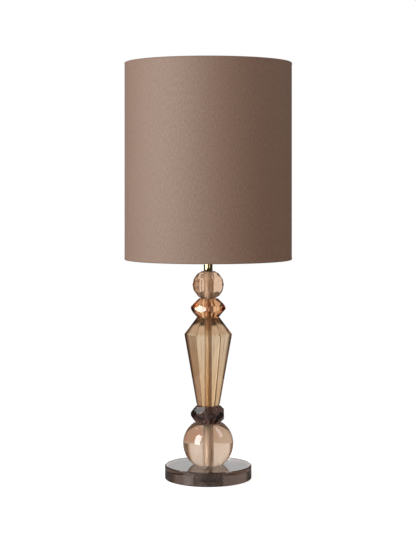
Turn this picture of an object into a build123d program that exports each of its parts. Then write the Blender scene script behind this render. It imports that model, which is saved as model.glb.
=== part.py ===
from build123d import *
from math import atan2, cos, radians, sin
import os

# Candlestick lamp: five cut crystals on a threaded tube over a round glass foot, with a drum
# shade on an E14 lampholder. Millimetres, +Z up. The front faces -Y, and the origin is on the
# table under the middle of the foot. A facet's turn is measured from the front to the right.

# ---- driving dimensions ----

# foot
base_diameter = 129.4
base_thickness = 20.5
base_bevel = 1.0
pad_inset = 4.0                 # from the edge of the glass in to the pad
pad_thickness = 1.0
recess_diameter = 30.0
recess_depth = 12.5
cord_hole_diameter = 9.0
cord_hole_height = 7.5          # above the underside of the glass
spot_face_depth = 0.6

# cord bush
bush_length = 12.0
bush_bore = 6.5
bush_flange_diameter = 12.0
bush_flange_thickness = 1.5
spot_face_clearance = 0.3

# threaded tube and what it clamps
tube_diameter = 9.8
tube_bore = 7.8
tube_below_nut = 2.0
tube_in_holder = 8.0
thread_clearance = 0.05
washer_diameter = 24.0
washer_thickness = 1.5
lock_washer_diameter = 17.0
lock_washer_thickness = 1.0
nut_across_flats = 14.0
nut_thickness = 3.0
hole_clearance = 0.2

# crystals
crystal_bore = 11.0
spacer_diameter = 18.0
spacer_thickness = 0.4

big_ball_diameter = 75.0
big_ball_height = 61.6

lower_rondelle_height = 25.6
lower_rondelle_count = 7
lower_rondelle_turn = 90.0      # the middle of one girdle facet
lower_rondelle_girdle = 23.5    # from the axis to a girdle facet
lower_rondelle_reach = 28.2     # where the slanting facets would meet
lower_rondelle_top_flat = 16.4
lower_rondelle_bottom_flat = 16.3

column_sides = 6
column_turn = 0.0
column_foot = 15.2              # from the axis to the middle of a side
column_foot_flat = 13.9
column_foot_bevel = 3.0
column_shoulder = 30.9
column_top_flat = 14.6
column_height = 131.5
column_crown_height = 25.2

upper_rondelle_height = 27.6
upper_rondelle_count = 8
upper_rondelle_turn = -28.0
upper_rondelle_girdle = 24.2
upper_rondelle_reach = 27.5
upper_rondelle_top_flat = 14.0
upper_rondelle_bottom_flat = 15.9

faceted_ball_diameter = 45.8    # across the flats of the widest ring
faceted_ball_height = 40.4
faceted_ball_count = 12
faceted_ball_turn = -8.0
faceted_ball_row_angle = 24.0   # from one ring of facets to the next

neck_diameter = 13.0
neck_length = 21.2

# lampholder
cap_diameter = 26.0
cap_height = 20.0
cap_wall = 2.0
cap_boss_diameter = 16.0
cap_boss_height = 4.6
cap_floor_height = 9.0
grub_screw_diameter = 3.0
grub_slot_width = 0.6
grub_slot_depth = 0.8
insert_clearance = 0.4
insert_height = 12.0
terminal_pocket_width = 6.0
terminal_pocket_depth = 3.0
terminal_head_diameter = 4.4
terminal_head_thickness = 1.6
terminal_shank_diameter = 2.5
terminal_shank_length = 3.0
contact_thickness = 0.5
contact_rise = 3.0
contact_width = 4.0
contact_half_top = 2.8
contact_foot = 1.8
shell_wall = 0.6
shell_height = 20.0
skirt_diameter = 28.0           # over the outside thread
skirt_thread_depth = 0.6
skirt_thread_pitch = 2.0
skirt_height = 35.0
skirt_wall = 1.8                # under the thread
skirt_lip_thickness = 2.0
skirt_lip_bore = 19.2
seat_diameter = 34.0
seat_thickness = 1.5
seat_height = 5.0               # the seat's top above the skirt's lower edge

# what holds the shade
reducer_thickness = 1.5
reducer_flange_diameter = 47.0
reducer_clearance = 0.3         # around the holder's thread
ring_nut_diameter = 46.0
ring_nut_height = 8.0
ring_nut_clearance = 0.1
ring_nut_rib_count = 24
ring_nut_rib_diameter = 2.4
hub_bore = 42.0
hub_diameter = 54.0
hub_thickness = 2.0
hub_clearance = 0.1

# shade
shade_diameter = 250.0
shade_height = 294.7
shade_drop = 29.2               # from the holder's seat down to the shade's lower rim
cover_thickness = 0.5
liner_thickness = 0.6
wire_diameter = 3.0
spoke_diameter = 3.0
spoke_count = 3
spoke_start_gap = 1.5           # from the hub's edge in to the end of a spoke
hem_thickness = 0.45
hem_height = 5.0
hem_slit_clearance = 0.2

# bulb
bulb_diameter = 25.0
bulb_length = 113.0
bulb_wall = 0.8
bulb_neck_diameter = 13.6
bulb_neck_length = 5.0
bulb_flare_length = 12.0
cap_thread_diameter = 13.8      # E14
cap_thread_depth = 0.5
cap_thread_pitch = 2.82
cap_thread_turns = 6
cap_collar_height = 4.0
cap_skin = 0.4
thread_play = 0.1               # around the bulb's thread
tip_diameter = 4.8
tip_height = 1.2
insulator_height = 2.9
stem_foot_diameter = 9.0
stem_foot_height = 14.0
stem_rod_diameter = 2.4
stem_head_room = 16.0
filament_count = 4
filament_diameter = 1.6
filament_ring_diameter = 11.0
filament_disc_thickness = 0.6

# ---- heights of the stack, from the table up ----

base_bottom = pad_thickness
base_top = base_bottom + base_thickness
recess_top = base_bottom + recess_depth
washer_bottom = recess_top - washer_thickness
lock_washer_bottom = washer_bottom - lock_washer_thickness
nut_bottom = lock_washer_bottom - nut_thickness
tube_bottom = nut_bottom - tube_below_nut
cord_hole_centre = base_bottom + cord_hole_height

big_ball_bottom = base_top + spacer_thickness
big_ball_top = big_ball_bottom + big_ball_height
lower_rondelle_bottom = big_ball_top + spacer_thickness
lower_rondelle_top = lower_rondelle_bottom + lower_rondelle_height
column_bottom = lower_rondelle_top + spacer_thickness
column_top = column_bottom + column_height
upper_rondelle_bottom = column_top + spacer_thickness
upper_rondelle_top = upper_rondelle_bottom + upper_rondelle_height
faceted_ball_bottom = upper_rondelle_top + spacer_thickness
faceted_ball_top = faceted_ball_bottom + faceted_ball_height
neck_bottom = faceted_ball_top + spacer_thickness
holder_bottom = neck_bottom + neck_length
tube_top = holder_bottom + tube_in_holder

insert_bottom = holder_bottom + cap_floor_height
insert_top = insert_bottom + insert_height
skirt_bottom = holder_bottom + cap_height
skirt_top = skirt_bottom + skirt_height
seat_top = skirt_bottom + seat_height
hub_bottom = seat_top + reducer_thickness
hub_top = hub_bottom + hub_thickness
shade_bottom = seat_top - shade_drop
shade_top = shade_bottom + shade_height

bulb_bottom = insert_top + contact_rise
insulator_bottom = bulb_bottom + tip_height
cap_thread_bottom = insulator_bottom + insulator_height
cap_collar_bottom = cap_thread_bottom + cap_thread_turns * cap_thread_pitch
glass_bottom = cap_collar_bottom + cap_collar_height
bulb_top = bulb_bottom + bulb_length

# ---- radii that several pieces share ----

tube_radius = tube_diameter / 2
shell_inner_radius = cap_thread_diameter / 2 + thread_play
shell_outer_radius = shell_inner_radius + shell_wall
skirt_root_radius = skirt_diameter / 2 - skirt_thread_depth
skirt_inner_radius = skirt_root_radius - skirt_wall
insert_radius = cap_diameter / 2 - cap_wall - insert_clearance
cover_radius = shade_diameter / 2
liner_radius = cover_radius - cover_thickness
wire_ring_radius = liner_radius - liner_thickness - wire_diameter / 2
hem_inner_radius = wire_ring_radius - wire_diameter / 2
lower_wire_height = shade_bottom + hem_thickness + wire_diameter / 2
upper_wire_height = shade_top - hem_thickness - wire_diameter / 2
cap_root_radius = cap_thread_diameter / 2 - cap_thread_depth


# ---- shapes used more than once ----

def disc(radius, bottom, top, bore_radius=0.0):
    """An upright cylinder between two heights, drilled through if a bore is given."""
    solid = Pos(0, 0, bottom) * extrude(Circle(radius), top - bottom)
    if bore_radius > 0:
        solid -= Pos(0, 0, bottom) * extrude(Circle(bore_radius), top - bottom)
    return solid


def turned(*outline):
    """The solid that an outline of (radius, height) points sweeps about the axis."""
    return revolve(Plane.XZ * make_face(Polyline(*outline, close=True)), Axis.Z)


def outward(turn):
    """The level direction at this turn from the front."""
    return Vector(sin(radians(turn)), -cos(radians(turn)), 0)


def ring_of_facets(solid, count, turn, low, high):
    """Cut flat facets round the axis, each through the (distance, height) points low and high."""
    (low_distance, low_height), (high_distance, high_height) = low, high
    tilt = atan2(low_distance - high_distance, high_height - low_height)
    for number in range(count):
        away = outward(turn + number * 360 / count)
        facing = away * cos(tilt) + Vector(0, 0, sin(tilt))
        plane = Plane(origin=away * low_distance + Vector(0, 0, low_height), z_dir=facing)
        solid = split(solid, bisect_by=plane, keep=Keep.BOTTOM)
    return solid


def rondelle(bottom, height, count, turn, girdle, reach, top_flat, bottom_flat):
    """A flat bead: upright girdle facets between two rings of slanting ones, half a step on."""
    top = bottom + height
    middle = bottom + height / 2
    blank = disc(2 * reach, bottom, top, crystal_bore / 2)
    bead = ring_of_facets(blank, count, turn, (girdle, bottom), (girdle, top))
    half_step = turn + 180 / count
    bead = ring_of_facets(bead, count, half_step, (reach, middle), (top_flat, top))
    return ring_of_facets(bead, count, half_step, (bottom_flat, bottom), (reach, middle))


def thread_outline(root, crest, pitch, turns, bottom):
    """The zigzag of a thread's ridges, from the bottom up."""
    points = []
    for number in range(turns):
        start = bottom + number * pitch
        points += [(root, start), (crest, start + pitch / 2)]
    return points + [(root, bottom + turns * pitch)]


# ---- foot ----

def make_base_pad():
    return disc(base_diameter / 2 - pad_inset, 0, pad_thickness)


def make_base_disc():
    """Bevelled glass with a bore, a recess for the nut and a cord hole out through the back."""
    glass = disc(base_diameter / 2, base_bottom, base_top)
    glass = chamfer(glass.edges().filter_by(GeomType.CIRCLE), base_bevel)
    glass -= disc(crystal_bore / 2, base_bottom, base_top)
    glass -= disc(recess_diameter / 2, base_bottom, recess_top)
    hole_start = Plane(origin=(0, 0, cord_hole_centre), z_dir=(0, 1, 0))
    glass -= extrude(hole_start * Circle(cord_hole_diameter / 2), base_diameter / 2)
    spot_radius = bush_flange_diameter / 2 + spot_face_clearance
    spot_start = hole_start.offset(base_diameter / 2 - spot_face_depth)
    return glass - extrude(spot_start * Circle(spot_radius), base_diameter / 2)


def make_cord_bush():
    """A flanged sleeve in the cord hole. Its flange lies on the spot face."""
    seat = Plane(origin=(0, 0, cord_hole_centre), z_dir=(0, 1, 0))
    seat = seat.offset(base_diameter / 2 - spot_face_depth)
    barrel = extrude(seat * Circle(cord_hole_diameter / 2), -bush_length)
    flange = extrude(seat * Circle(bush_flange_diameter / 2), bush_flange_thickness)
    flange = chamfer(flange.edges().sort_by(Axis.Y)[-1], bush_flange_thickness / 3)
    bore = extrude(seat * Circle(bush_bore / 2), bush_length + bush_flange_thickness, both=True)
    return barrel + flange - bore


def make_base_washer():
    return disc(washer_diameter / 2, washer_bottom, recess_top, tube_radius + hole_clearance)


def make_lock_washer():
    """A split ring under the nut."""
    ring = disc(lock_washer_diameter / 2, lock_washer_bottom, washer_bottom,
                tube_radius + hole_clearance)
    slot = Box(lock_washer_diameter, lock_washer_thickness, 2 * lock_washer_thickness,
               align=(Align.MIN, Align.CENTER, Align.CENTER))
    return ring - Pos(0, 0, lock_washer_bottom) * slot


def make_base_nut():
    hexagon = RegularPolygon(nut_across_flats / 2, 6, major_radius=False)
    nut = Pos(0, 0, nut_bottom) * extrude(hexagon, nut_thickness)
    return nut - disc(tube_radius + thread_clearance, nut_bottom, lock_washer_bottom)


# ---- stem ----

def make_threaded_tube():
    return disc(tube_radius, tube_bottom, tube_top, tube_bore / 2)


def make_big_ball():
    middle = (big_ball_bottom + big_ball_top) / 2
    slab = disc(big_ball_diameter, big_ball_bottom, big_ball_top, crystal_bore / 2)
    return slab & (Pos(0, 0, middle) * Sphere(big_ball_diameter / 2))


def make_lower_rondelle():
    return rondelle(lower_rondelle_bottom, lower_rondelle_height, lower_rondelle_count,
                    lower_rondelle_turn, lower_rondelle_girdle, lower_rondelle_reach,
                    lower_rondelle_top_flat, lower_rondelle_bottom_flat)


def make_tapered_column():
    """A six-sided prism that widens upwards to a shoulder and closes in a crown."""
    shoulder = column_top - column_crown_height
    bevel_top = column_bottom + column_foot_bevel
    column = disc(2 * column_shoulder, column_bottom, column_top, crystal_bore / 2)
    rings = [((column_foot_flat, column_bottom), (column_foot, bevel_top)),
             ((column_foot, bevel_top), (column_shoulder, shoulder)),
             ((column_shoulder, shoulder), (column_top_flat, column_top))]
    for low, high in rings:
        column = ring_of_facets(column, column_sides, column_turn, low, high)
    return column


def make_upper_rondelle():
    return rondelle(upper_rondelle_bottom, upper_rondelle_height, upper_rondelle_count,
                    upper_rondelle_turn, upper_rondelle_girdle, upper_rondelle_reach,
                    upper_rondelle_top_flat, upper_rondelle_bottom_flat)


def make_faceted_ball():
    """A ball cut in rings of facets, each ring half a step round from the next."""
    middle = (faceted_ball_bottom + faceted_ball_top) / 2
    radius = faceted_ball_diameter / 2
    step = faceted_ball_row_angle
    ball = disc(2 * radius, faceted_ball_bottom, faceted_ball_top, crystal_bore / 2)
    for row in range(3):
        low_angle, high_angle = radians(row * step), radians((row + 1) * step)
        inner, inner_rise = radius * cos(low_angle), radius * sin(low_angle)
        outer, outer_rise = radius * cos(high_angle), radius * sin(high_angle)
        turn = faceted_ball_turn + row * 180 / faceted_ball_count
        ball = ring_of_facets(ball, faceted_ball_count, turn,
                              (inner, middle + inner_rise), (outer, middle + outer_rise))
        ball = ring_of_facets(ball, faceted_ball_count, turn,
                              (outer, middle - outer_rise), (inner, middle - inner_rise))
    return ball


def make_spacer_washers():
    """Thin clear rings that keep the crystals off each other."""
    tops = [big_ball_bottom, lower_rondelle_bottom, column_bottom, upper_rondelle_bottom,
            faceted_ball_bottom, neck_bottom]
    bore_radius = tube_radius + hole_clearance
    return Compound([disc(spacer_diameter / 2, top - spacer_thickness, top, bore_radius)
                     for top in tops])


def make_neck_tube():
    return disc(neck_diameter / 2, neck_bottom, holder_bottom, tube_radius + hole_clearance)


# ---- lampholder ----

def make_holder_cap():
    """A cup that screws onto the threaded tube, with a hole for its locking screw."""
    bore = tube_radius + thread_clearance
    boss = cap_boss_diameter / 2
    outside = cap_diameter / 2
    inside = outside - cap_wall
    floor = holder_bottom + cap_floor_height
    cup = turned((bore, holder_bottom), (boss, holder_bottom),
                 (boss, holder_bottom + cap_boss_height), (outside, floor),
                 (outside, skirt_bottom), (inside, skirt_bottom), (inside, floor), (bore, floor))
    hole = extrude(grub_screw_seat() * Circle(grub_screw_diameter / 2), cap_boss_diameter)
    return cup - hole


def grub_screw_seat():
    """Where the locking screw meets the threaded tube, facing out to the right."""
    height = holder_bottom + cap_boss_height / 2
    return Plane(origin=(tube_radius, 0, height), z_dir=(1, 0, 0))


def make_grub_screw():
    length = cap_boss_diameter / 2 - tube_radius - grub_slot_depth / 2
    screw = extrude(grub_screw_seat() * Circle(grub_screw_diameter / 2), length)
    slot = extrude(grub_screw_seat().offset(length - grub_slot_depth)
                   * Rectangle(2 * grub_screw_diameter, grub_slot_width), grub_slot_depth)
    return screw - slot


def terminal_seats():
    """Where the two terminal screws bear on the insert, facing out left and right."""
    height = (insert_bottom + insert_top) / 2
    inset = insert_radius - terminal_pocket_depth
    return [Plane(origin=(side * inset, 0, height), z_dir=(side, 0, 0)) for side in (-1, 1)]


def make_holder_insert():
    """The insulating core, with a pocket and a screw hole for each terminal."""
    core = disc(insert_radius, insert_bottom, insert_top)
    pocket = Rectangle(terminal_pocket_width, terminal_pocket_width)
    shank = Circle(terminal_shank_diameter / 2)
    for seat in terminal_seats():
        core -= extrude(seat * pocket, insert_radius)
        core -= extrude(seat * shank, -terminal_shank_length)
    return core


def make_terminal_screws():
    screws = []
    for seat in terminal_seats():
        head = extrude(seat * Circle(terminal_head_diameter / 2), terminal_head_thickness)
        shank = extrude(seat * Circle(terminal_shank_diameter / 2), -terminal_shank_length)
        screws.append(head + shank)
    return Compound(screws)


def make_centre_contact():
    """A bent brass strip: a foot on the insert, a ramp and a flat under the bulb's tip."""
    thick = contact_thickness
    ramp = contact_rise / 2
    heel = -contact_half_top - ramp
    toe = heel - contact_foot
    strip = Polyline((toe, 0), (toe, thick), (heel, thick), (-contact_half_top, contact_rise),
                     (contact_half_top, contact_rise), (contact_half_top, contact_rise - thick),
                     (thick - contact_half_top, contact_rise - thick), (heel + thick, 0),
                     close=True)
    side = Plane(origin=(0, 0, insert_top), x_dir=(1, 0, 0), z_dir=(0, -1, 0))
    return extrude(side * make_face(strip), contact_width / 2, both=True)


def make_screw_shell():
    return disc(shell_outer_radius, insert_top, insert_top + shell_height, shell_inner_radius)


def make_holder_skirt():
    """The outer sleeve: a seat for the shade, the ring nut's thread and an inner lip on top."""
    turns = int((skirt_height - seat_height) / skirt_thread_pitch)
    thread = thread_outline(skirt_root_radius, skirt_diameter / 2, skirt_thread_pitch,
                            turns, seat_top)
    seat = seat_diameter / 2
    lip_bottom = skirt_top - skirt_lip_thickness
    return turned((skirt_inner_radius, skirt_bottom), (skirt_root_radius, skirt_bottom),
                  (skirt_root_radius, seat_top - seat_thickness),
                  (seat, seat_top - seat_thickness), (seat, seat_top), *thread,
                  (skirt_root_radius - skirt_thread_depth, skirt_top),
                  (skirt_lip_bore / 2, skirt_top), (skirt_lip_bore / 2, lip_bottom),
                  (skirt_inner_radius, lip_bottom))


# ---- what holds the shade ----

def make_reducer_ring():
    """A flanged ring that fits the shade's wide hub to the holder's thread."""
    bore = skirt_diameter / 2 + reducer_clearance
    flange = disc(reducer_flange_diameter / 2, seat_top, hub_bottom, bore)
    spigot = disc(hub_bore / 2 - hub_clearance, hub_bottom, hub_top, bore)
    return flange + spigot


def make_ring_nut():
    """A ribbed ring on the holder's thread."""
    bore = skirt_diameter / 2 + ring_nut_clearance
    ring = disc(ring_nut_diameter / 2, hub_top, hub_top + ring_nut_height, bore)
    groove = disc(ring_nut_rib_diameter / 2, hub_top, hub_top + ring_nut_height)
    return ring - PolarLocations(ring_nut_diameter / 2, ring_nut_rib_count) * groove


# ---- shade ----

def make_spider_hub():
    return disc(hub_diameter / 2, hub_bottom, hub_top, hub_bore / 2)


def wire_ring(height):
    return Pos(0, 0, height) * Torus(wire_ring_radius, wire_diameter / 2)


def spoke_bar(number, clearance=0.0):
    """A straight bar from inside the hub's edge out to the middle of the lower wire."""
    away = outward(180 + number * 360 / spoke_count)
    start = away * (hub_diameter / 2 - spoke_start_gap) + Vector(0, 0, (hub_bottom + hub_top) / 2)
    end = away * wire_ring_radius + Vector(0, 0, lower_wire_height)
    along = Plane(origin=start, z_dir=end - start)
    return extrude(along * Circle(spoke_diameter / 2 + clearance), (end - start).length)


def make_spider_spoke(number):
    """A spoke, cut where it is welded to the hub and to the lower wire."""
    spoke = spoke_bar(number) - make_spider_hub() - wire_ring(lower_wire_height)
    return max(spoke.solids(), key=lambda piece: piece.volume)


def make_shade_liner():
    return disc(liner_radius, shade_bottom + hem_thickness, shade_top - hem_thickness,
                liner_radius - liner_thickness)


def make_shade_cover():
    return disc(cover_radius, shade_bottom + hem_thickness, shade_top - hem_thickness,
                liner_radius)


def hem(rim, inward):
    """Fabric folded round a rim: a channel that opens inward, up from the lower rim or down."""
    outer = cover_radius + hem_thickness
    inner = hem_inner_radius - hem_thickness
    floor = rim + inward * hem_thickness
    end = rim + inward * hem_height
    return turned((inner, rim), (outer, rim), (outer, end), (cover_radius, end),
                  (cover_radius, floor), (hem_inner_radius, floor), (hem_inner_radius, end),
                  (inner, end))


def make_bottom_hem():
    """The lower hem is slit where the spokes come through."""
    folded = hem(shade_bottom, 1)
    for number in range(spoke_count):
        folded -= spoke_bar(number, hem_slit_clearance)
    return folded


def make_top_hem():
    return hem(shade_top, -1)


# ---- bulb ----

def make_bulb_tip():
    foot = tip_diameter / 4
    return turned((0, bulb_bottom), (foot, bulb_bottom),
                  (tip_diameter / 2, insulator_bottom), (0, insulator_bottom))


def make_bulb_insulator():
    inside = cap_root_radius - cap_skin
    return turned((0, insulator_bottom), (tip_diameter / 2, insulator_bottom),
                  (inside, cap_thread_bottom), (0, cap_thread_bottom))


def make_bulb_cap():
    """A thin screwed cap with a plain collar that meets the glass."""
    inside = cap_root_radius - cap_skin
    thread = thread_outline(cap_root_radius, cap_thread_diameter / 2, cap_thread_pitch,
                            cap_thread_turns, cap_thread_bottom)
    return turned((inside, cap_thread_bottom), *thread,
                  (cap_root_radius, glass_bottom), (inside, glass_bottom))


def bulb_blank(wall):
    """The tube of the bulb with its neck, flare and round end, smaller all over by the wall."""
    neck = bulb_neck_diameter / 2 - wall
    body = bulb_diameter / 2 - wall
    bottom = glass_bottom + wall
    flare_bottom = glass_bottom + bulb_neck_length
    flare_top = flare_bottom + bulb_flare_length
    flare_middle = (flare_bottom + flare_top) / 2
    dome_bottom = bulb_top - bulb_diameter / 2
    outline = [Polyline((0, bottom), (neck, bottom), (neck, flare_bottom)),
               Bezier((neck, flare_bottom), (neck, flare_middle),
                      (body, flare_middle), (body, flare_top)),
               Line((body, flare_top), (body, dome_bottom)),
               CenterArc((0, dome_bottom), body, 0, 90),
               Line((0, dome_bottom + body), (0, bottom))]
    return revolve(Plane.XZ * make_face(outline), Axis.Z)


def make_bulb_glass():
    return bulb_blank(0) - bulb_blank(bulb_wall)


def make_bulb_stem():
    """A flared foot inside the neck and a rod up the middle."""
    foot = stem_foot_diameter / 2
    rod = stem_rod_diameter / 2
    bottom = glass_bottom + bulb_wall
    shoulder = bottom + stem_foot_height
    top = bulb_top - stem_head_room
    return turned((0, bottom), (foot, bottom), (foot, bottom + stem_foot_height / 2),
                  (rod, shoulder), (rod, top), (0, top))


def filament_disc_levels():
    """The undersides of the lower and the upper support disc."""
    shoulder = glass_bottom + bulb_wall + stem_foot_height
    return [shoulder + filament_disc_thickness, bulb_top - stem_head_room - filament_disc_thickness]


def make_filament_supports():
    """Two discs on the rod that the filaments stand between."""
    radius = filament_ring_diameter / 2 + filament_diameter / 2
    discs = [disc(radius, level, level + filament_disc_thickness, stem_rod_diameter / 2)
             for level in filament_disc_levels()]
    return Compound(discs)


def make_filaments():
    low, high = filament_disc_levels()
    rod = disc(filament_diameter / 2, low + filament_disc_thickness, high)
    places = PolarLocations(filament_ring_diameter / 2, filament_count)
    return Compound([place * rod for place in places])


# ---- one file for each piece ----

pieces = {
    "base_pad": make_base_pad(),
    "base_disc": make_base_disc(),
    "cord_bush": make_cord_bush(),
    "base_washer": make_base_washer(),
    "lock_washer": make_lock_washer(),
    "base_nut": make_base_nut(),
    "threaded_tube": make_threaded_tube(),
    "big_ball": make_big_ball(),
    "lower_rondelle": make_lower_rondelle(),
    "tapered_column": make_tapered_column(),
    "upper_rondelle": make_upper_rondelle(),
    "faceted_ball": make_faceted_ball(),
    "spacer_washers": make_spacer_washers(),
    "neck_tube": make_neck_tube(),
    "holder_cap": make_holder_cap(),
    "grub_screw": make_grub_screw(),
    "holder_insert": make_holder_insert(),
    "terminal_screws": make_terminal_screws(),
    "centre_contact": make_centre_contact(),
    "screw_shell": make_screw_shell(),
    "holder_skirt": make_holder_skirt(),
    "reducer_ring": make_reducer_ring(),
    "ring_nut": make_ring_nut(),
    "spider_hub": make_spider_hub(),
    "bottom_wire": wire_ring(lower_wire_height),
    "top_wire": wire_ring(upper_wire_height),
    "shade_liner": make_shade_liner(),
    "shade_cover": make_shade_cover(),
    "bottom_hem": make_bottom_hem(),
    "top_hem": make_top_hem(),
    "bulb_tip": make_bulb_tip(),
    "bulb_insulator": make_bulb_insulator(),
    "bulb_cap": make_bulb_cap(),
    "bulb_glass": make_bulb_glass(),
    "bulb_stem": make_bulb_stem(),
    "filament_supports": make_filament_supports(),
    "filaments": make_filaments(),
}
for number in range(spoke_count):
    pieces[f"spider_spoke_{number + 1}"] = make_spider_spoke(number)

os.makedirs("parts", exist_ok=True)
for name, piece in pieces.items():
    export_step(piece, f"parts/{name}.step")
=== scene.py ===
from math import log, pi, radians

import bmesh
import bpy
import numpy as np
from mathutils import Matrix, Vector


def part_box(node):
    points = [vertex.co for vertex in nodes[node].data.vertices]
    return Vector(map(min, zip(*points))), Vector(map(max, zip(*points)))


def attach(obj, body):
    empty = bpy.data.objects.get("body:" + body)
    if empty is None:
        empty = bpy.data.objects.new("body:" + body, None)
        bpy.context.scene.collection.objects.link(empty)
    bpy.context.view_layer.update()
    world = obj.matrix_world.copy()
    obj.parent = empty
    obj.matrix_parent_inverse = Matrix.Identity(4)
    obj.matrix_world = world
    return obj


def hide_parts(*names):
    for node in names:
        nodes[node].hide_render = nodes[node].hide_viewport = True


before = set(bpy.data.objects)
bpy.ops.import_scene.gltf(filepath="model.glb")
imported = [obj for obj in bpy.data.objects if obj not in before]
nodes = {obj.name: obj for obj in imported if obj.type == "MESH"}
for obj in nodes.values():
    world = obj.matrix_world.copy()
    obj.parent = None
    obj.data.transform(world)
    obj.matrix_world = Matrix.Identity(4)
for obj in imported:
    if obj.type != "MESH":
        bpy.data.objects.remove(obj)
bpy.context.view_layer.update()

# A table lamp: cut crystals on a threaded tube over a round glass foot, under a drum shade.
# Metres, +Z up, the front towards -Y, and the axis of the stem on the Z axis. Colours are
# linear, and the scale of a noise is in grains to the metre.

bl_info = {
    "name": "Crystal Candlestick Lamp",
    "version": (1, 0, 0),
    "blender": (4, 5, 0),
    "location": "3D View > Sidebar > Lamp",
    "description": "Dresses a table lamp of cut crystals with a drum shade",
    "category": "Add Mesh",
}

MM = 0.001


# ---- sizes read from the frame ----

def low(node):
    """The lowest height of a node."""
    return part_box(node)[0].z


def high(node):
    """The greatest height of a node."""
    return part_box(node)[1].z


def reach(node):
    """How far a round node reaches from the axis."""
    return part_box(node)[1].x


# ---- settings that a user would change ----

class LampSizes(bpy.types.PropertyGroup):
    """Sizes of the pieces that are made here."""
    shade_radius: bpy.props.FloatProperty(
        name="Shade radius", description="From the axis to the outside of the fabric",
        default=reach("shade_cover"), unit="LENGTH")
    roll_depth: bpy.props.FloatProperty(
        name="Roll depth", description="Height of the rolled edge of the fabric on a rim",
        default=3.4 * MM, unit="LENGTH")
    tuck: bpy.props.FloatProperty(
        name="Tuck", description="Height of the fabric that is folded inside a rim",
        default=5.0 * MM, unit="LENGTH")
    seam_width: bpy.props.FloatProperty(
        name="Seam width", description="Overlap of the fabric at the back",
        default=10.0 * MM, unit="LENGTH")
    seam_step: bpy.props.FloatProperty(
        name="Seam step", description="How far the overlap stands proud",
        default=0.35 * MM, unit="LENGTH")
    cloth_thickness: bpy.props.FloatProperty(
        name="Cloth thickness", description="Thickness of the shade fabric",
        default=0.3 * MM, unit="LENGTH")
    facet_bevel: bpy.props.FloatProperty(
        name="Facet bevel", description="Width of the polished edge between two facets",
        default=0.2 * MM, unit="LENGTH")
    thread_pitch: bpy.props.FloatProperty(
        name="Thread pitch", description="Pitch of the thread on the stem's tube",
        default=1.0 * MM, unit="LENGTH")


def colour(name, description, red, green, blue):
    """A colour setting with a linear default."""
    return bpy.props.FloatVectorProperty(name=name, description=description, size=3,
                                         subtype="COLOR", min=0, max=1,
                                         default=(red, green, blue))


class LampColours(bpy.types.PropertyGroup):
    """Colours of the glass, the metal and the fabric."""
    foot: colour("Foot", "Smoky glass, seen across the foot", 0.115, 0.077, 0.062)
    big_ball: colour("Big ball", "Pale peach glass, seen through the middle", 0.66, 0.50, 0.385)
    lower_rondelle: colour("Lower rondelle", "Dark smoky glass, seen through the middle",
                           0.075, 0.040, 0.032)
    column: colour("Column", "Amber glass, seen through the shoulder", 0.66, 0.50, 0.33)
    column_foot: colour("Column foot", "Deeper amber at the foot", 0.52, 0.25, 0.088)
    column_crown: colour("Column crown", "Deeper amber in the crown", 0.37, 0.16, 0.058)
    upper_rondelle: colour("Upper rondelle", "Orange glass, seen through the middle",
                           0.86, 0.46, 0.22)
    faceted_ball: colour("Faceted ball", "Rose-brown glass, seen through the middle",
                         0.74, 0.50, 0.34)
    brass: colour("Brass", "Polished brass", 0.82, 0.62, 0.30)
    weft: colour("Weft", "The threads that run round the shade", 0.362, 0.190, 0.122)
    warp: colour("Warp", "The threads that run up the shade", 0.215, 0.109, 0.068)


class LampStudio(bpy.types.PropertyGroup):
    """Where the camera stands and how bright the studio is."""
    camera_distance: bpy.props.FloatProperty(
        name="Camera distance", description="From the stem's axis to the lens",
        default=2.155, unit="LENGTH")
    camera_height: bpy.props.FloatProperty(
        name="Camera height", description="Height of the lens over the table",
        default=0.4438, unit="LENGTH")
    pixels_per_radian: bpy.props.FloatProperty(
        name="Pixels per radian", description="Focal length in pixels of the picture",
        default=1440.0)
    sky_level: bpy.props.FloatProperty(
        name="Sky level", description="Brightness of the surroundings on matt surfaces",
        default=0.42)
    dark_level: bpy.props.FloatProperty(
        name="Dark level", description="Brightness of the studio beside the backdrop, in glass",
        default=0.20)
    window_level: bpy.props.FloatProperty(
        name="Window level", description="Brightness of the left side of the studio in glass",
        default=1.7)
    front_level: bpy.props.FloatProperty(
        name="Front level", description="Brightness of the studio's front in glass",
        default=0.70)
    key_power: bpy.props.FloatProperty(
        name="Key power", description="Power of the soft lamp on the left", default=22.0,
        unit="POWER")


# ---- building blocks: node trees ----

def feed(tree, socket, value):
    """Wires a socket to another node's output, or sets it to a plain value."""
    if isinstance(value, bpy.types.NodeSocket):
        tree.links.new(value, socket)
    else:
        socket.default_value = value


def add(tree, kind, inputs=None, **options):
    """Adds a node, sets its options and feeds its inputs."""
    node = tree.nodes.new(kind)
    for option, value in options.items():
        setattr(node, option, value)
    for key, value in (inputs or {}).items():
        feed(tree, node.inputs[key], value)
    return node


def maths(tree, operation, *values):
    """The result of a Math node."""
    return add(tree, "ShaderNodeMath", dict(enumerate(values)), operation=operation).outputs[0]


def vector_maths(tree, operation, *values):
    """The outputs of a Vector Math node."""
    return add(tree, "ShaderNodeVectorMath", dict(enumerate(values)), operation=operation).outputs


def separated(tree, vector):
    """The three parts of a vector."""
    return add(tree, "ShaderNodeSeparateXYZ", {0: vector}).outputs


def spread(tree, value, from_low, from_high, to_low=0.0, to_high=1.0, smooth=True):
    """A value carried from one range to another, with soft ends if smooth."""
    kind = "SMOOTHSTEP" if smooth else "LINEAR"
    names = ("From Min", "From Max", "To Min", "To Max")
    inputs = dict(zip(names, (from_low, from_high, to_low, to_high)))
    return add(tree, "ShaderNodeMapRange", {"Value": value, **inputs},
               interpolation_type=kind).outputs["Result"]


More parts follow.
